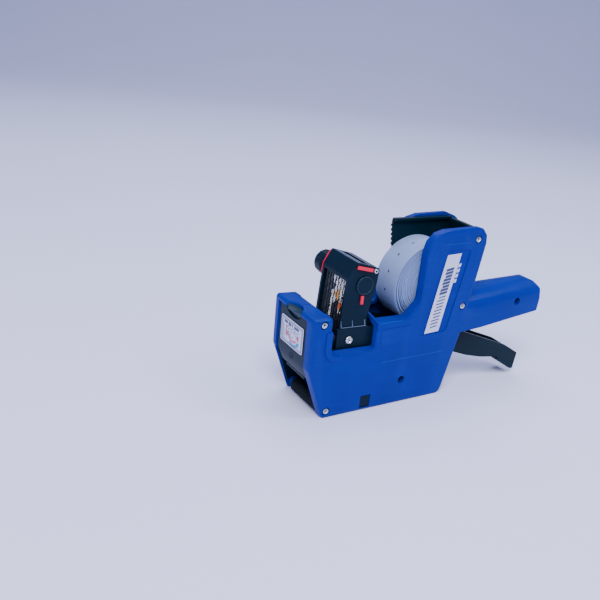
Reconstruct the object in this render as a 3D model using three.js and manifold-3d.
// A hand-held price labeling gun, eight-band type, at real size in millimetres.
//
// Construction coordinates: X runs from the nose to the end of the handle, Y to the gun's right-hand side,
// Z up. X = 0 is the front corner of the flat bottom, Y = 0 the plane between the two half shells, and Z = 0
// the surface that the gun stands on. The group at the end moves X so that the origin is the middle of the
// gun's footprint.

import * as THREE from 'three';
import { mergeVertices } from 'three/addons/utils/BufferGeometryUtils.js';
import Module from 'manifold-3d';

const wasm = await Module();
wasm.setup();

// ---------------------------------------------------------------- driving dimensions

const NOSE_X = -14;
const HANDLE_END_X = 187;
const REAR_X = 185.52; // rearmost point of the leaning handle end
const MIDDLE_X = (NOSE_X + REAR_X) / 2;

const HALF_WIDTH = 25; // outside of a side face at X = 0
const TAPER = 0.071; // how much narrower each side gets for each millimetre of X
const WALL = 2.4;
const GAP = 0.3; // between pieces that rest on each other
const RUN = 0.2; // radial running clearance of a turning piece

const NOSE_TOP_Z = 69.4;
const KINK_Z = 34.9;
const NOTCH_FRONT_X = 1;
const NOTCH_REAR_X = 35.5;
const NOTCH_Z = 42.5;
const SHOULDER_Z = 61;
const TOWER_FRONT_X = 69;
const TOWER_TOP_Z = { left: 119.7, right: 122.1 }; // the right side stands higher, behind the lid
const TOWER_TOP_FALL = 1.7; // how much lower the top edge is at the front
const TOWER_FOOT = {
  left: [[60, SHOULDER_Z + 0.4, 5], [TOWER_FRONT_X, 71.5, 6]],
  right: [[56.5, SHOULDER_Z + 0.3, 4], [61.5, 72, 10], [TOWER_FRONT_X, 98, 12]],
};
const TOWER_REAR_CORNER = {
  left: [[122, TOWER_TOP_Z.left, 10]],
  right: [[105.5, TOWER_TOP_Z.right, 5], [118.4, 117.2, 7]],
};
const EDGE_ROUND = 2.2;

const FRONT_GAP_HALF = 18; // half width of the opening between the nose flanges
const RIGHT_FLANGE_Y = 20.2; // inner edge of the narrower right-hand nose flange
const RIGHT_MOUTH_Y = 22.3; // the same below the kink, where only the wall is left
const NOTCH_GAP_HALF = 18.1;
const TOWER_GAP_HALF = 13.4;
const TRIGGER_SLOT_HALF = 9.2;
const BASE_GAP_HALF = 17;
const BASE_GAP_END_X = 89.5;

const PIVOT = [86, 40]; // X and Z of the shaft that the lever swings on
const PIVOT_R = 2.5;
const ROLL = [81.2, 79.4];
const ROLL_R = 28.4;
const ROLL_SIDE = { left: 12, right: 10.9 }; // how far the roll reaches to each side
const CORE_R = 9.6;
const HUB_R = 8;
const KNOB = [19.8, 88.8];
const KNOB_R = 8;
const BAND_COUNT = 8;
const BAND_PITCH = 3.2;
const BAND_LOW = [17.6, 53.2];
const BAND_LOW_R = 4.6;
const BAND_TOP_R = 4.7;
const BAND_THICK = 1.1;
const APPLICATOR = [2.8, 5];
const COVER_HINGE = [-6.6, 24.5];
const BASE_HINGE = [86.5, 3.2];
const LID_HINGE = [111.6, 110.9];
const INK_PIVOT = [-7, 33];
const INK_ROLLER = [8.6, 46.8];
const INK_R = 5;
const FEED = [46, 21];
const FEED_R = 9;
const GUIDE = [70, 10];
const GUIDE_R = 3;
const PLATEN_Z = 33.4;

// Casing screws: X, Z, depth of the head below the side face.
const SCREWS = {
  screw_nose_top: [-5.6, 65.2, 1.4],
  screw_nose_bottom: [APPLICATOR[0], APPLICATOR[1], 1.4],
  screw_tower_top: [LID_HINGE[0], LID_HINGE[1], 1.4],
  screw_tower_middle: [107.3, 64.1, 1.4],
  screw_handle: [160.9, 61.2, 7],
  screw_body: [62, 16.9, 9],
};
const SCREW_HEAD_R = 2.4;
const SCREW_SHANK_R = 1.3;
const SCREW_HEAD_H = 1.5;
const BOSS_R = 3.7;

// ---------------------------------------------------------------- materials

const paint = (color, roughness, metalness = 0) =>
  new THREE.MeshStandardMaterial({ color, roughness, metalness });
const BLUE = paint(0x1a47c0, 0.42);
const BLACK = paint(0x15212e, 0.45);
const RED = paint(0xd8304e, 0.4);
const PAPER = paint(0xf2f2f4, 0.85);
const CARD = paint(0xb79b78, 0.9);
const STEEL = paint(0xb8bcc2, 0.3, 0.9);
const RUBBER = paint(0x22252a, 0.8);
const FELT = paint(0x1b2340, 0.95);
const CLEAR = paint(0xbfd4e0, 0.1);

// ---------------------------------------------------------------- geometry helpers

/** Half the gun's width at a given X. */
const halfAt = (x) => HALF_WIDTH - TAPER * x;

/** Turns corners [x, z, radius] into points, each corner rounded by an arc. */
function rounded(corners, steps = 3) {
  const points = [];
  corners.forEach(([x, z, radius = 0], i) => {
    const corner = new THREE.Vector2(x, z);
    if (radius === 0) {
      points.push(corner);
      return;
    }
    const [ax, az] = corners[(i + corners.length - 1) % corners.length];
    const [bx, bz] = corners[(i + 1) % corners.length];
    const toPrevious = new THREE.Vector2(ax - x, az - z).normalize();
    const toNext = new THREE.Vector2(bx - x, bz - z).normalize();
    const halfAngle = Math.acos(THREE.MathUtils.clamp(toPrevious.dot(toNext), -1, 1)) / 2;
    const middle = toPrevious.clone().add(toNext).normalize();
    const centre = corner.clone().addScaledVector(middle, radius / Math.sin(halfAngle));
    const start = corner.clone().addScaledVector(toPrevious, radius / Math.tan(halfAngle)).sub(centre);
    const end = corner.clone().addScaledVector(toNext, radius / Math.tan(halfAngle)).sub(centre);
    const sweep = Math.atan2(start.cross(end), start.dot(end));
    for (let k = 0; k <= steps; k += 1) {
      points.push(start.clone().rotateAround(new THREE.Vector2(), (sweep * k) / steps).add(centre));
    }
  });
  return points;
}

/** Moves every side of a cornered outline inwards by a distance. */
function inset(corners, distance) {
  const area = corners.reduce((sum, [x, z], i) => {
    const [nx, nz] = corners[(i + 1) % corners.length];
    return sum + x * nz - nx * z;
  }, 0);
  const inward = Math.sign(area);
  return corners.map(([x, z, radius = 0], i) => {
    const [ax, az] = corners[(i + corners.length - 1) % corners.length];
    const [bx, bz] = corners[(i + 1) % corners.length];
    const before = new THREE.Vector2(x - ax, z - az).normalize();
    const after = new THREE.Vector2(bx - x, bz - z).normalize();
    const turn = before.cross(after) * inward;
    const normalSum = new THREE.Vector2(-before.y - after.y, before.x + after.x).multiplyScalar(inward);
    const scale = distance / (1 + before.dot(after));
    const newRadius = turn > 0 ? Math.max(radius - distance, 0) : radius + distance;
    return [x + normalSum.x * scale, z + normalSum.y * scale, radius === 0 ? 0 : newRadius];
  });
}

/** Turns geometry into a manifold solid. */
function solid(geometry) {
  const bare = geometry.index ? geometry.toNonIndexed() : geometry.clone();
  bare.deleteAttribute('normal');
  bare.deleteAttribute('uv');
  const merged = mergeVertices(bare, 1e-4);
  return new wasm.Manifold(new wasm.Mesh({
    numProp: 3,
    vertProperties: new Float32Array(merged.attributes.position.array),
    triVerts: new Uint32Array(merged.index.array),
  }));
}

/** Turns a manifold solid back into geometry. */
function geometryOf(manifold) {
  const mesh = manifold.getMesh();
  const geometry = new THREE.BufferGeometry();
  geometry.setAttribute('position', new THREE.BufferAttribute(mesh.vertProperties, mesh.numProp));
  geometry.setIndex(new THREE.BufferAttribute(mesh.triVerts, 1));
  const flat = geometry.toNonIndexed();
  flat.computeVertexNormals();
  return flat;
}

/** Joins solids into one. */
const join = (...parts) => parts.reduce((sum, part) => sum.add(part));

/** Cuts the later solids out of the first. */
const cut = (first, ...parts) => parts.reduce((rest, part) => rest.subtract(part), first);

/** An outline in X and Z, extruded along Y from y0 to y1. */
function prismGeometry(points, y0, y1) {
  const shape = new THREE.Shape(points.map((p) => (Array.isArray(p) ? new THREE.Vector2(p[0], p[1]) : p)));
  const geometry = new THREE.ExtrudeGeometry(shape, { depth: y1 - y0, bevelEnabled: false });
  return geometry.rotateX(Math.PI / 2).translate(0, y1, 0);
}
const prism = (points, y0, y1) => solid(prismGeometry(points, y0, y1));

/** A prism on one side of the gun: side is -1 for left, 1 for right, and the distances are from Y = 0. */
function sidePrism(points, side, near, far) {
  return prism(points, Math.min(side * near, side * far), Math.max(side * near, side * far));
}

/** A block between two corners. */
function block(x0, x1, y0, y1, z0, z1) {
  return solid(new THREE.BoxGeometry(x1 - x0, y1 - y0, z1 - z0)
    .translate((x0 + x1) / 2, (y0 + y1) / 2, (z0 + z1) / 2));
}

/** A round bar along Y. */
function bar([x, z], radius, y0, y1, sides = 20) {
  return solid(new THREE.CylinderGeometry(radius, radius, y1 - y0, sides).translate(x, (y0 + y1) / 2, z));
}

/** A round bar on one side of the gun. */
function sideBar(centre, radius, side, near, far, sides = 20) {
  return bar(centre, radius, Math.min(side * near, side * far), Math.max(side * near, side * far), sides);
}

/** An outline in the distance to one side and Z, extruded along X. */
function crossPrism(points, side, x0, x1) {
  const shape = new THREE.Shape(points.map(([y, z]) => new THREE.Vector2(-y, z)));
  const geometry = new THREE.ExtrudeGeometry(shape, { depth: x1 - x0, bevelEnabled: false });
  geometry.applyMatrix4(new THREE.Matrix4().makeBasis(
    new THREE.Vector3(0, 1, 0), new THREE.Vector3(0, 0, 1), new THREE.Vector3(1, 0, 0)));
  const left = solid(geometry.translate(x0, 0, 0));
  return side < 0 ? left : left.mirror([0, 1, 0]);
}

/** A ring along Y. */
function ring(centre, outer, inner, y0, y1, sides = 24) {
  return cut(bar(centre, outer, y0, y1, sides), bar(centre, inner, y0 - 1, y1 + 1, sides));
}

/** The space on one side of the gun whose outer face is the tapered side face, moved in by a distance. */
function sideSpace(side, depth) {
  const x0 = -40;
  const x1 = 240;
  const points = [[x0, 0], [x1, 0], [x1, side * (halfAt(x1) - depth)], [x0, side * (halfAt(x0) - depth)]];
  const shape = new THREE.Shape(points.map(([x, y]) => new THREE.Vector2(x, y)));
  return solid(new THREE.ExtrudeGeometry(shape, { depth: 200, bevelEnabled: false }).translate(0, 0, -30));
}

/** An outline extruded to the tapered side face, with the face's edge rounded. */
function skin(corners, side, depth, round, roundSteps = 2) {
  const width = HALF_WIDTH - depth;
  const shape = new THREE.Shape(rounded(corners));
  const geometry = new THREE.ExtrudeGeometry(shape, {
    depth: 2 * (width - round),
    bevelEnabled: round > 0,
    bevelThickness: round,
    bevelSize: round,
    bevelOffset: -round,
    bevelSegments: roundSteps,
  });
  geometry.rotateX(Math.PI / 2).translate(0, width - round, 0);
  const place = geometry.attributes.position;
  for (let i = 0; i < place.count; i += 1) {
    const taperedHalf = halfAt(place.getX(i)) - depth;
    place.setY(i, (place.getY(i) * taperedHalf) / width);
  }
  const half = side > 0 ? block(-60, 260, 0.15, 60, -30, 200) : block(-60, 260, -60, -0.15, -30, 200);
  return solid(geometry).intersect(half);
}

// ---------------------------------------------------------------- half shells

const bodyOutline = (name) => [
  [NOSE_X, NOSE_TOP_Z, 2.6],
  [NOTCH_FRONT_X, NOSE_TOP_Z, 2.4],
  [NOTCH_FRONT_X, NOTCH_Z, 6],
  [NOTCH_REAR_X, NOTCH_Z, 2.6],
  [NOTCH_REAR_X, SHOULDER_Z, 2.6],
  ...TOWER_FOOT[name],
  [TOWER_FRONT_X, TOWER_TOP_Z[name] - TOWER_TOP_FALL, 14],
  ...TOWER_REAR_CORNER[name],
  [110.4, 45, 20],
  [99.3, 0, 5],
  [0, 0, 2.6],
  [NOSE_X + 0.5, KINK_Z, 6],
];

const HANDLE_ROUND = 2.4;
const HANDLE_LOW = [[90, 43.6], [128, 45.6], [HANDLE_END_X + 13, 53.3]];
const HANDLE_TOP = [[98, 70.6], [HANDLE_END_X, 76]]; // crest of the rounded top
const HANDLE_ARCH = 12.5; // height of the rounded part
const HANDLE_OUTLINE = [
  [98, 36, 0],
  [98, HANDLE_TOP[0][1], 0],
  [HANDLE_END_X, HANDLE_TOP[1][1], 13],
  [HANDLE_END_X - 3.6, 40, 0],
];

/** The space above the handle's flat underside, raised by a distance. */
function aboveHandleFloor(raise) {
  const floor = HANDLE_LOW.map(([x, z]) => [x, z + raise]);
  return prism([...floor, [HANDLE_END_X + 13, 100], [90, 100]], -60, 60);
}

/** The space under the handle's rounded top, whose sides taper with the gun, moved in by a distance. */
function underHandleArch(depth) {
  const steps = 12;
  const section = (x, topZ) => {
    const half = halfAt(x) - depth;
    const points = [[x, -half, 20], [x, half, 20]];
    for (let i = 0; i <= steps; i += 1) {
      const angle = (Math.PI * i) / steps;
      points.push([x, half * Math.cos(angle), topZ - HANDLE_ARCH + (HANDLE_ARCH - depth) * Math.sin(angle)]);
    }
    return points;
  };
  const slope = (HANDLE_TOP[1][1] - HANDLE_TOP[0][1]) / (HANDLE_TOP[1][0] - HANDLE_TOP[0][0]);
  const crestAt = (x) => HANDLE_TOP[0][1] + slope * (x - HANDLE_TOP[0][0]);
  const ends = [96, HANDLE_END_X + 3].map((x) => section(x, crestAt(x)));
  return wasm.Manifold.hull(ends.flat());
}

/** One half of the casing: side is -1 for the left shell, 1 for the right shell. */
function shell(side) {
  const outline = bodyOutline(side < 0 ? 'left' : 'right');
  const body = skin(outline, side, 0, EDGE_ROUND);
  const handle = skin(HANDLE_OUTLINE, side, 0, HANDLE_ROUND, 2)
    .intersect(aboveHandleFloor(0)).intersect(underHandleArch(0));
  const bodyHollow = skin(inset(outline, WALL), side, WALL, 0);
  const handleHollow = skin(inset(HANDLE_OUTLINE, WALL), side, WALL, 0)
    .intersect(aboveHandleFloor(WALL)).intersect(underHandleArch(WALL));
  let shape = cut(join(body, handle), bodyHollow, handleHollow);

  // Bosses for the casing screws and for the pivot shaft reach in from the side wall.
  Object.entries(SCREWS).forEach(([name, [x, z]]) => {
    const short = {
      screw_nose_bottom: FRONT_GAP_HALF - 0.4,
      screw_tower_top: TOWER_GAP_HALF,
      screw_tower_middle: TOWER_GAP_HALF,
    };
    const inner = short[name] ?? 0.15;
    shape = join(shape, sideBar([x, z], BOSS_R, side, inner, halfAt(x) - 1));
  });
  shape = join(
    shape,
    sideBar(PIVOT, 5.4, side, 15.1, halfAt(PIVOT[0]) - 1),
    sideBar(INK_PIVOT, 2.8, side, 14.4, halfAt(INK_PIVOT[0]) - 1),
    sideBar(ROLL, 5, side, 13.3, halfAt(ROLL[0]) - 1),
    sideBar(FEED, 3.4, side, 13.2, halfAt(FEED[0]) - 1),
    sideBar(GUIDE, 2.4, side, 13.2, halfAt(GUIDE[0]) - 1),
    sideBar([BASE_HINGE[0], 3.6], 2.8, side, 14.4, halfAt(BASE_HINGE[0]) - 1),
  );

  // A lip stands out round the front lower corner of the notch, and a pad behind the notch.
  const lip = rounded([[-3.4, 60], [NOTCH_FRONT_X, 60], [NOTCH_FRONT_X, NOTCH_Z, 6], [9, NOTCH_Z],
    [9, NOTCH_Z - 3.2], [-3.4, NOTCH_Z - 3.2, 9]]);
  const pad = rounded([[39.7, 44.5, 1], [63.5, 44.5, 1], [63.5, 56, 1], [39.7, 56, 1]], 2);
  const raise = sideSpace(side, -0.6);
  shape = join(
    shape,
    sidePrism(lip, side, 20, 30).intersect(raise),
    sidePrism(pad, side, 19, 30).intersect(sideSpace(side, -0.25)),
  );

  // A blade stands across the rear of the notch, from the wall towards the middle.
  const blade = crossPrism([[22.6, 57], [22.6, 61.2], [21, 61.4], [8, 63.8], [8, 62], [18.6, 57]],
    side, NOTCH_REAR_X + 0.2, NOTCH_REAR_X + 1.6);
  // The floor of the notch rises towards the middle.
  const notchFloor = crossPrism([[18.1, 41], [18.1, NOTCH_Z + 1.6], [22.4, NOTCH_Z - 0.2], [22.4, 41]],
    side, NOTCH_FRONT_X - 0.6, NOTCH_REAR_X + 0.6);

  // Openings between the two shells: nose, base, head notch, tower, lid and trigger.
  const open = (points, half) => sidePrism(points, side, -1, half);
  const flangeY = side < 0 ? FRONT_GAP_HALF : RIGHT_FLANGE_Y;
  const mouthY = side < 0 ? FRONT_GAP_HALF : RIGHT_MOUTH_Y;
  shape = cut(
    shape,
    open([[-20, 66], [-11, 66], [-10.2, 36], [3.6, -3], [-20, -3]], flangeY),
    open([[-20, 33], [-9.1, 33], [3.6, -3], [-20, -3]], mouthY),
    open([[-4, -2], [BASE_GAP_END_X, -2], [BASE_GAP_END_X, 4], [1, 4]], BASE_GAP_HALF),
    open([[-2, 38], [39, 38], [39, 64], [6, 66.8], [-2, 66.8]], NOTCH_GAP_HALF),
    open([[34, 52], [74, 52], [74, 130], [34, 130]], TOWER_GAP_HALF),
    open([[60, 103], [130, 103], [130, 130], [60, 130]], TOWER_GAP_HALF),
    open([[90, 19], [125, 19], [125, 44.5], [90, 44.5]], TRIGGER_SLOT_HALF),
    open([[90, 42], [176, 42], [176, 55], [90, 47]], TRIGGER_SLOT_HALF),
  );
  // The nose top is a bridge: an arched scoop over the front cover, and a step back from the notch.
  shape = cut(
    shape,
    solid(new THREE.CylinderGeometry(12, 12, 12, 40).rotateX(Math.PI / 2)
      .translate(NOSE_X - 6.5, 0, NOSE_TOP_Z)),
    open([[-1.4, 60], [4, 60], [4, 74], [-1.4, 74]], 17),
  );
  shape = join(shape, blade, notchFloor);

  // Bores, counterbores, latch window, and the shallow pocket for the side label.
  Object.entries(SCREWS).forEach(([, [x, z, depth]]) => {
    const half = halfAt(x);
    shape = cut(shape, sideBar([x, z], SCREW_SHANK_R + RUN, side, 0, side < 0 ? half + 2 : half - 3.4));
    if (side < 0) {
      shape = cut(shape, sideBar([x, z], SCREW_HEAD_R + 0.35, side, half - depth, half + 2));
    }
  });
  shape = cut(
    shape,
    sideBar(PIVOT, PIVOT_R + RUN, side, 10, 16.4),
    sideBar(INK_PIVOT, 1.2 + RUN, side, 10, 19),
    sideBar(ROLL, 2 + RUN, side, 10, 16),
    sideBar(FEED, 1.6 + RUN, side, 10, 18),
    sideBar(GUIDE, 1.1 + RUN, side, 10, 16),
    sideBar(BASE_HINGE, 1.1 + RUN, side, 10, 17),
    sideBar(COVER_HINGE, 0.8 + RUN, side, 10, 20),
    sidePrism([[29.2, 1.7], [37.3, 1.7], [37.3, 10.8], [29.2, 10.8]], side, 15, 30),
    sidePrism(rounded([[80.5, 105.6, 3], [106.8, 104.8, 3], [95.3, 47.6, 3], [70.5, 47, 3]]), side, 0, 40)
      .subtract(sideSpace(side, 0.5)).intersect(sideSpace(side, -5)),
  );
  return shape;
}

// ---------------------------------------------------------------- covers, latches and labels

function frontCover() {
  const plate = prism([[-13.3, 65.6], [-12.9, 35], [-8.9, 25.6], [-7.2, 26.3], [-11, 35.4], [-11.4, 65.6]],
    -FRONT_GAP_HALF + GAP, FRONT_GAP_HALF - GAP);
  const barrel = bar(COVER_HINGE, 2, -12, 12);
  const bore = bar(COVER_HINGE, 1, -13, 13);
  const scoop = solid(new THREE.CylinderGeometry(10, 10, 6, 32).rotateZ(Math.PI / 2)
    .scale(1, 1, 0.45).translate(-15.2, 0, 66));
  return cut(join(plate, barrel), bore, scoop);
}

function bottomCover() {
  const plate = join(block(9.8, 82.2, -16.6, 16.6, 0, 2.1), block(80, BASE_HINGE[0], -14, 14, 0, 2.1));
  const ribs = [-1, 1].map((side) => sidePrism([[14, 2], [80, 2], [78, 5.6], [16, 5.6]], side, 11.6, 13));
  const barrel = bar(BASE_HINGE, 2.3, -14, 14);
  const rib = block(14, 16, -12, 12, 2, 4.4);
  return cut(join(plate, ...ribs, barrel, rib), bar(BASE_HINGE, 1.3, -20, 20));
}

function latch(side) {
  const face = sidePrism([[29.5, 2.5], [37, 2.5], [37, 10.5], [29.5, 10.5]], side, 18.4, 22.1);
  const foot = sidePrism([[27.6, 2.8], [38.9, 2.8], [38.9, 12.4], [27.6, 12.4]], side, 17.4, 19.4);
  return join(face, foot);
}

/** The hinged lid of the roll bay: a right-hand wall with grip ribs, and a rear wall on the hinge barrel. */
function rollLid() {
  const wall = prism(rounded([[63.4, 99, 1], [60.8, 119.7, 2], [106, 119.7, 0], [115.2, 116.6, 3],
    [115.2, 108, 3], [104, 99, 2]]), TOWER_GAP_HALF - 2, TOWER_GAP_HALF - GAP);
  const rim = prism([[61.6, 117.9], [61.4, 119.7], [108, 119.7], [108, 117.9]],
    TOWER_GAP_HALF - 3.8, TOWER_GAP_HALF - GAP);
  const rear = prism(rounded([[106.6, 119, 1], [110.2, 118.7, 1], [114.9, 113, 1.5], [111.6, 109.4, 1],
    [108, 112, 1]], 2), -TOWER_GAP_HALF + GAP, TOWER_GAP_HALF - GAP);
  const barrel = bar(LID_HINGE, 3.2, -TOWER_GAP_HALF + GAP, TOWER_GAP_HALF - GAP);
  const grips = [];
  for (let z = 102; z < 118; z += 3.2) {
    grips.push(bar([63.3 - 0.126 * (z - 102), z], 1.1, TOWER_GAP_HALF - 2, TOWER_GAP_HALF - GAP, 10));
  }
  return cut(join(wall, rim, rear, barrel, ...grips), bar(LID_HINGE, SCREW_SHANK_R + RUN, -30, 30));
}

/** A label in the pocket of a side face. */
function sideLabel(side) {
  const outline = [[86.1, 102.2], [98, 102.6], [88.4, 48.6], [76.3, 48.1]];
  return sidePrism(outline, side, 0, 40).intersect(sideSpace(side, -0.05)).subtract(sideSpace(side, 0.2));
}

function coverSticker() {
  const outline = rounded([[-14.4, 59, 1.2], [14.4, 59, 1.2], [14.4, 41.5, 1.2], [-14.4, 41.5, 1.2]], 3);
  const shape = new THREE.Shape(outline);
  const geometry = new THREE.ExtrudeGeometry(shape, { depth: 0.3, bevelEnabled: false });
  // The sheet is drawn in Y and Z and lies in front of the cover, which leans by the slope of its face.
  geometry.applyMatrix4(new THREE.Matrix4().makeBasis(
    new THREE.Vector3(0, 1, 0), new THREE.Vector3(0, 0, 1), new THREE.Vector3(1, 0, 0)));
  return solid(geometry.rotateY(-Math.atan(0.4 / 30.6)).translate(-13.0, 0, 0));
}

// ---------------------------------------------------------------- label roll and its hubs

const labelRoll = () => ring([0, 0], ROLL_R, CORE_R + 0.3, -ROLL_SIDE.left, ROLL_SIDE.right, 48);
const rollCore = () => ring([0, 0], CORE_R, HUB_R + 0.4, -ROLL_SIDE.left, ROLL_SIDE.right, 28);

/** A spool end: a stub in the roll's core, and a flange beside the roll. */
function rollHub(side) {
  return join(
    sideBar([0, 0], HUB_R, side, 3, (side < 0 ? ROLL_SIDE.left : ROLL_SIDE.right) + 0.5, 28),
    sideBar([0, 0], 11.5, side, (side < 0 ? ROLL_SIDE.left : ROLL_SIDE.right) + GAP, 13.1, 28),
    sideBar([0, 0], 2, side, 12, 15.8, 16),
  );
}

// ---------------------------------------------------------------- feed path

function platen() {
  const top = block(6, 34, -12.2, 12.2, PLATEN_Z - 3, PLATEN_Z);
  const column = block(12, 30, -11, 11, 20, PLATEN_Z - 2);
  const foot = block(16, 26, -19.6, 19.6, 18, 22);
  return join(top, column, foot);
}

/** A plate across the mouth, and a cheek on its right with holes for the bosses it is fitted over. */
function exitPlate() {
  const across = prism([[-1.5, 30], [0.3, 30.6], [5.6, 12.2], [3.8, 11.6]], -17.4, 21);
  const cheek = prism([[-11.2, 32.6], [-8.5, 25], [-0.3, 3], [10, 3], [10, 33], [-6, 33]], 20.2, 21.6);
  const holes = [[INK_PIVOT, 3.2], [APPLICATOR, BOSS_R + GAP], [COVER_HINGE, 0.8 + RUN]];
  return join(across, cut(cheek, ...holes.map(([axis, radius]) => bar(axis, radius, 10, 30))));
}

/** The chute that leads the strip from the roll down to the platen. */
function labelChute() {
  const floor = prism([[37, 31], [39, 31], [45, 36], [66, 44.4], [66, 46], [44, 38], [37, 33]], -12.2, 12.2);
  const walls = [-1, 1].map((side) => sidePrism([[44, 37], [66, 45], [66, 51], [50, 46.6]], side, 11, 12.2));
  const stem = block(55, 58.4, -16.8, 16.8, 28, 31);
  const web = block(55, 58.4, -6, 6, 30, 41.4);
  return join(floor, ...walls, stem, web);
}

function feedWheel() {
  const pins = [];
  const count = 10;
  for (let i = 0; i < count; i += 1) {
    const angle = (2 * Math.PI * i) / count;
    pins.push(solid(new THREE.CylinderGeometry(0.35, 0.9, 2.6, 6).translate(0, FEED_R + 0.6, 0)
      .rotateX(Math.PI / 2).rotateY(angle)));
  }
  const body = join(bar([0, 0], FEED_R, -3, 3, 20), bar([0, 0], 5, -9, 9, 20), ...pins);
  return cut(body, bar([0, 0], 1.6 + RUN, -12, 12, 16));
}

function ratchetWheel() {
  const teeth = 12;
  const points = [];
  for (let i = 0; i < teeth; i += 1) {
    const angle = (2 * Math.PI * i) / teeth;
    points.push([7 * Math.cos(angle), 7 * Math.sin(angle)]);
    points.push([5.4 * Math.cos(angle + 0.08), 5.4 * Math.sin(angle + 0.08)]);
  }
  return cut(prism(points, -12.4, -9.3), bar([0, 0], 1.6 + RUN, -14, 0, 16));
}

function applicatorRoller() {
  const half = 16.4;
  const grooves = 11;
  const pitch = (2 * half) / grooves;
  const points = [new THREE.Vector2(1.5 + RUN, -half)];
  for (let i = 0; i < grooves; i += 1) {
    const start = -half + i * pitch;
    points.push(
      new THREE.Vector2(3.7, start),
      new THREE.Vector2(4.55, start + 0.25 * pitch),
      new THREE.Vector2(4.55, start + 0.75 * pitch),
    );
  }
  points.push(new THREE.Vector2(3.7, half), new THREE.Vector2(1.5 + RUN, half), points[0].clone());
  return solid(new THREE.LatheGeometry(points, 14));
}

// ---------------------------------------------------------------- inking

function inkArm() {
  const reach = [INK_ROLLER[0] - INK_PIVOT[0], INK_ROLLER[1] - INK_PIVOT[1]];
  const length = Math.hypot(...reach);
  const across = [(-reach[1] / length) * 2, (reach[0] / length) * 2];
  const outline = [
    [across[0], across[1]], [reach[0] + across[0], reach[1] + across[1]],
    [reach[0] - across[0], reach[1] - across[1]], [-across[0], -across[1]],
  ];
  const sides = [-1, 1].map((side) => join(
    sidePrism(outline, side, 12.2, 13.2),
    sideBar([0, 0], 2.6, side, 12.2, 13.2),
    sideBar(reach, 2.3, side, 12.2, 13.2),
  ));
  const tie = bar([0, 0], 2.6, -13, 13);
  const axle = bar(reach, 1, -13, 13, 12);
  return cut(join(...sides, tie, axle), bar([0, 0], 1.2 + RUN, -14, 14));
}

const inkRoller = () => ring([0, 0], INK_R, 1 + RUN + 0.1, -11.8, 11.8, 24);

// ---------------------------------------------------------------- lever, yoke and trigger

function headYoke() {
  const front = rounded([[9.8, 43.5, 1], [9.8, 57.2, 1], [32, 57.2, 1], [46, 54, 0], [46, 42, 0], [36, 43.5, 3]]);
  const rear = rounded([[40, 42.5, 0], [40, 55.4, 0], [82, 47.5, 4], [104, 45, 3], [104, 34, 3], [82, 32.5, 4]]);
  const arms = [-1, 1].map((side) => join(
    sidePrism(front, side, 14.6, 16.4),
    sidePrism(rear, side, 12.8, 14.8),
  ));
  const tie = bar([97, 40], 3.2, -14, 14);
  return cut(join(...arms, tie), bar(PIVOT, PIVOT_R + RUN, -20, 20), bar([97, 40], 1.6, -20, 20),
    bar([18.7, 49.2], 1.5, -20, 20));
}

function trigger() {
  const outline = rounded([
    [79.4, 44, 3], [88, 46.6, 4], [112, 43.2, 6], [148.5, 29.9, 30], [163.6, 24.3, 8], [176.9, 16.6, 1.2],
    [175.2, 3.9, 0.8], [172.3, 4.2, 0.8], [158.5, 12.6, 0.5], [158.1, 15.6, 0.4], [141, 17.7, 30],
    [127, 20.9, 30], [112, 26, 14], [92, 33, 4], [79.4, 36, 3],
  ], 3);
  const channel = [[106, 60], [106, 40], [122, 29.5], [142, 23], [158, 19.4], [170, 15.4], [168, 60]];
  const body = prism(outline, -8, 8);
  const tieSpace = bar([97, 40], 3.6, -9, 9);
  return cut(body, bar(PIVOT, PIVOT_R + RUN, -20, 20), tieSpace, prism(channel, -5.9, 5.9));
}

/** A coil spring wound round the pivot shaft. */
function returnSpring() {
  const turns = 3;
  const coil = 4.3;
  const points = [];
  for (let i = 0; i <= turns * 12; i += 1) {
    const angle = (2 * Math.PI * i) / 12;
    const y = -12 + (2.6 * i) / (turns * 12);
    points.push(new THREE.Vector3(coil * Math.cos(angle), y, coil * Math.sin(angle)));
  }
  const path = new THREE.CatmullRomCurve3(points);
  const section = new THREE.Shape(rounded([[-0.35, -0.35], [0.35, -0.35], [0.35, 0.35], [-0.35, 0.35]]));
  const options = { extrudePath: path, steps: turns * 12, bevelEnabled: false };
  return solid(new THREE.ExtrudeGeometry(section, options));
}

// ---------------------------------------------------------------- print head

const HEAD_OUTLINE = [
  [11.3, 57.6, 0.6], [12.4, 78, 0], [13.5, 91, 5], [19, 100.5, 1], [36.2, 95.6, 2], [35, 84, 8],
  [31.4, 66, 4], [31.2, 57.6, 0.6],
];

function headCase() {
  const half = 15.5;
  const wall = 1.7;
  const outer = prism(rounded(HEAD_OUTLINE), -half, half);
  const hollow = prism(rounded(inset(HEAD_OUTLINE, wall)), -half + wall, half - wall);
  const floorOpening = block(12.6, 29.4, -half + wall, half - wall, 50, 60);
  const faceOpening = block(5, 17, -13.4, 13.4, 56, 88.4);
  const slot = block(23.8, 29.2, -11, 12, 90, 102);
  const leg = rounded([[13.4, 45.8, 1], [13.4, 61, 0], [29.6, 61, 0], [29.6, 45.8, 1]]);
  const legs = [-1, 1].map((side) => sidePrism(leg, side, 13.1, 14.3));
  const ribs = [12.6, 21, 30.4].map((x) => block(x - 0.5, x + 0.5, -half - 0.6, -half + 1, 57.6, 62.3));
  const shaftHole = bar(KNOB, 2.9, 10, 20);
  const screwHoles = bar([18.7, 49.2], 1.4, -20, 20, 16);
  let shape = cut(outer, hollow, floorOpening, faceOpening, slot);
  shape = join(shape, ...legs, ...ribs);
  return cut(shape, shaftHole, screwHoles);
}

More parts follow.
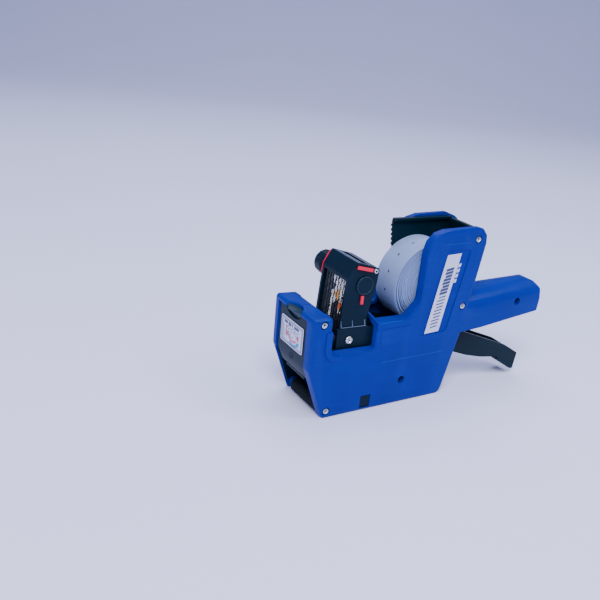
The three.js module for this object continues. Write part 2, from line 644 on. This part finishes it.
/** One printing band: a loop round the drive drum above and the band nose below. */
function typeBand() {
  const loop = (topR, lowR) => {
    const dx = BAND_LOW[0] - KNOB[0];
    const dz = BAND_LOW[1] - KNOB[1];
    const distance = Math.hypot(dx, dz);
    const along = Math.atan2(dz, dx);
    const lean = Math.acos((topR - lowR) / distance);
    const points = [];
    const steps = 8;
    for (let i = 0; i <= steps; i += 1) {
      const angle = along + lean + ((2 * Math.PI - 2 * lean) * i) / steps;
      points.push([topR * Math.cos(angle), topR * Math.sin(angle)]);
    }
    for (let i = 0; i <= steps; i += 1) {
      const angle = along - lean + (2 * lean * i) / steps;
      points.push([dx + lowR * Math.cos(angle), dz + lowR * Math.sin(angle)]);
    }
    return points;
  };
  const half = BAND_PITCH / 2 - GAP / 2;
  return cut(prism(loop(BAND_TOP_R, BAND_LOW_R), -half, half),
    prism(loop(BAND_TOP_R - BAND_THICK, BAND_LOW_R - BAND_THICK), -half - 1, half + 1));
}

/** The drum that drives the bands: eight wheels side by side on one sleeve. */
function bandDrum() {
  const radius = BAND_TOP_R - BAND_THICK - GAP;
  const edge = (BAND_COUNT * BAND_PITCH) / 2;
  const wheels = [];
  for (let i = 0; i < BAND_COUNT; i += 1) {
    const y = (i - (BAND_COUNT - 1) / 2) * BAND_PITCH;
    wheels.push(bar([0, 0], radius, y - 1.2, y + 1.2, 12));
  }
  const sleeve = bar([0, 0], radius - 0.7, -edge, edge, 12);
  return cut(join(sleeve, ...wheels), bar([0, 0], 2.1, -edge - 1, edge + 1, 12));
}

function bandNose() {
  const radius = BAND_LOW_R - BAND_THICK - GAP;
  return join(bar([0, 0], radius, -12.8, 12.8, 16), block(-1, 1, -12.8, 12.8, 0, 14));
}

function indicatorPlate() {
  const outline = rounded([[12.9, 85.6, 1], [13.4, 91, 5], [18.3, 99.6, 1], [28, 97, 2], [28, 82, 2], [14, 82, 2]], 2);
  return cut(prism(outline, 15.8, 16.5), bar(KNOB, 2.9, 10, 20));
}

function knob() {
  const grips = [];
  const count = 12;
  for (let i = 0; i < count; i += 1) {
    const angle = (2 * Math.PI * i) / count;
    grips.push(bar([KNOB_R * 0.97 * Math.cos(angle), KNOB_R * 0.97 * Math.sin(angle)], 0.35, 18.2, 24.6, 5));
  }
  const profile = [[0, 16.9], [7.3, 16.9], [7.6, 17.6], [7.8, 18.2], [7.8, 24.7], [7.1, 25.7], [0, 25.7]]
    .map(([r, y]) => new THREE.Vector2(r, y));
  return cut(join(solid(new THREE.LatheGeometry(profile, 40)), ...grips), bar([0, 0], 1.9, 10, 23));
}

const knobShaft = () => join(bar([0, 0], 1.6, -12.4, 22.6, 12), bar([0, 0], 1.85, 9, 12, 12));

// ---------------------------------------------------------------- fasteners

/** A casing screw, its head towards the left and its middle at the origin of Y. */
function casingScrew([x, , depth]) {
  const half = halfAt(x);
  const headTop = -(half - depth) - SCREW_HEAD_H;
  const cross = [
    block(-1.7, 1.7, headTop - 1, headTop + 0.9, -0.35, 0.35),
    block(-0.35, 0.35, headTop - 1, headTop + 0.9, -1.7, 1.7),
  ];
  const shape = join(
    bar([0, 0], SCREW_HEAD_R, headTop, headTop + SCREW_HEAD_H - GAP / 2, 20),
    bar([0, 0], SCREW_SHANK_R, headTop + 1, half - 3.8, 16),
  );
  return cut(shape, ...cross);
}

function yokeScrew(side) {
  const head = sideBar([0, 0], 2.9, side, 16.6, 17.8, 20);
  const shank = sideBar([0, 0], 1.15, side, 12.95, 17, 12);
  const cross = [
    sidePrism([[-2, -0.35], [2, -0.35], [2, 0.35], [-2, 0.35]], side, 17.2, 19),
    sidePrism([[-0.35, -2], [0.35, -2], [0.35, 2], [-0.35, 2]], side, 17.2, 19),
  ];
  return cut(join(head, shank), ...cross);
}

// ---------------------------------------------------------------- assembly

const gun = new THREE.Group();
gun.position.x = -MIDDLE_X;

/** Adds a solid as a named mesh whose own origin is at [x, z]. */
function add(name, shape, material, [x, z] = [0, 0], parent = gun) {
  const mesh = new THREE.Mesh(geometryOf(shape), material);
  mesh.name = name;
  mesh.position.set(x, 0, z);
  parent.add(mesh);
  return mesh;
}

// Casing.
add('left_shell', shell(-1), BLUE);
add('right_shell', shell(1), BLUE);
Object.entries(SCREWS).forEach(([name, screw]) => add(name, casingScrew(screw), STEEL, screw));
add('pivot_shaft', bar([0, 0], PIVOT_R, -16.1, 16.1, 20), STEEL, PIVOT);
add('return_spring', returnSpring(), STEEL, PIVOT);
add('roll_hub_left', rollHub(-1), BLACK, ROLL);
add('roll_hub_right', rollHub(1), BLACK, ROLL);
add('platen', platen(), BLACK);
add('exit_plate', exitPlate(), BLACK);
add('label_chute', labelChute(), BLACK);
add('feed_axle', bar([0, 0], 1.6, -17.6, 17.6, 16), STEEL, FEED);
add('guide_axle', bar([0, 0], 1.1, -15.7, 15.7, 12), STEEL, GUIDE);
add('ink_arm_pin', bar([0, 0], 1.2, -18.6, 18.6, 16), STEEL, INK_PIVOT);
add('side_label_left', sideLabel(-1), PAPER);
add('side_label_right', sideLabel(1), PAPER);

// Covers and latches.
add('front_cover', frontCover(), BLACK);
add('front_cover_pin', bar([0, 0], 0.8, -19.6, 21.8, 12), STEEL, COVER_HINGE);
add('cover_sticker', coverSticker(), PAPER);
add('bottom_cover', bottomCover(), BLACK);
add('bottom_cover_pin', bar([0, 0], 1.1, -16.6, 16.6, 12), STEEL, BASE_HINGE);
add('latch_left', latch(-1), BLACK);
add('latch_right', latch(1), BLACK);
add('roll_lid', rollLid(), BLACK);

// Label roll, feed and applicator.
add('label_roll', labelRoll(), PAPER, ROLL);
add('roll_core', rollCore(), CARD, ROLL);
add('feed_wheel', feedWheel(), BLACK, FEED);
add('ratchet_wheel', ratchetWheel(), BLACK, FEED);
add('guide_roller', ring([0, 0], GUIDE_R, 1.1 + RUN, -12, 12, 20), BLACK, GUIDE);
add('applicator_roller', applicatorRoller(), RUBBER, APPLICATOR);

// Inking.
add('ink_arm', inkArm(), BLACK, INK_PIVOT);
add('ink_roller', inkRoller(), FELT, INK_ROLLER);

// Lever with the print head.
const lever = new THREE.Group();
gun.add(lever);
add('head_yoke', headYoke(), BLACK, [0, 0], lever);
add('trigger', trigger(), BLACK, [0, 0], lever);
add('lever_pin', bar([0, 0], 1.4, -14.8, 14.8, 14), STEEL, [97, 40], lever);
add('head_case', headCase(), BLACK, [0, 0], lever);
add('head_window', prism([[24.1, 97.7], [24.1, 98.4], [28.9, 97.1], [28.9, 96.4]], -10.7, 11.7),
  CLEAR, [0, 0], lever);
add('yoke_screw_left', yokeScrew(-1), STEEL, [18.7, 49.2], lever);
add('yoke_screw_right', yokeScrew(1), STEEL, [18.7, 49.2], lever);
for (let i = 0; i < BAND_COUNT; i += 1) {
  const band = add(`type_band_${i + 1}`, typeBand(), RUBBER, KNOB, lever);
  band.position.y = (i - (BAND_COUNT - 1) / 2) * BAND_PITCH;
}
add('band_nose', bandNose(), BLACK, BAND_LOW, lever);
add('band_drum', bandDrum(), BLACK, KNOB, lever);
add('knob_shaft', knobShaft(), STEEL, KNOB, lever);
add('selector_knob', knob(), BLACK, KNOB, lever);
add('indicator_plate', indicatorPlate(), RED, [0, 0], lever);
add('indicator_bar', prism([[18.8, 96.5], [19.4, 98.7], [30.9, 96], [30.4, 93.8]], -17, -15.8), RED, [0, 0], lever);
add('indicator_pin', sideBar([0, 0], 1.5, -1, 15.8, 17.3, 16), STEEL, [32.7, 94.4], lever);
add('side_cap', sideBar([0, 0], 6.2, -1, 15.8, 16.5, 32), BLACK, [26.1, 85.2], lever);
add('release_tab', block(-1, 1, -17.1, -15.8, -2.8, 2.8), RED, [25, 75.7], lever);

export default gun;
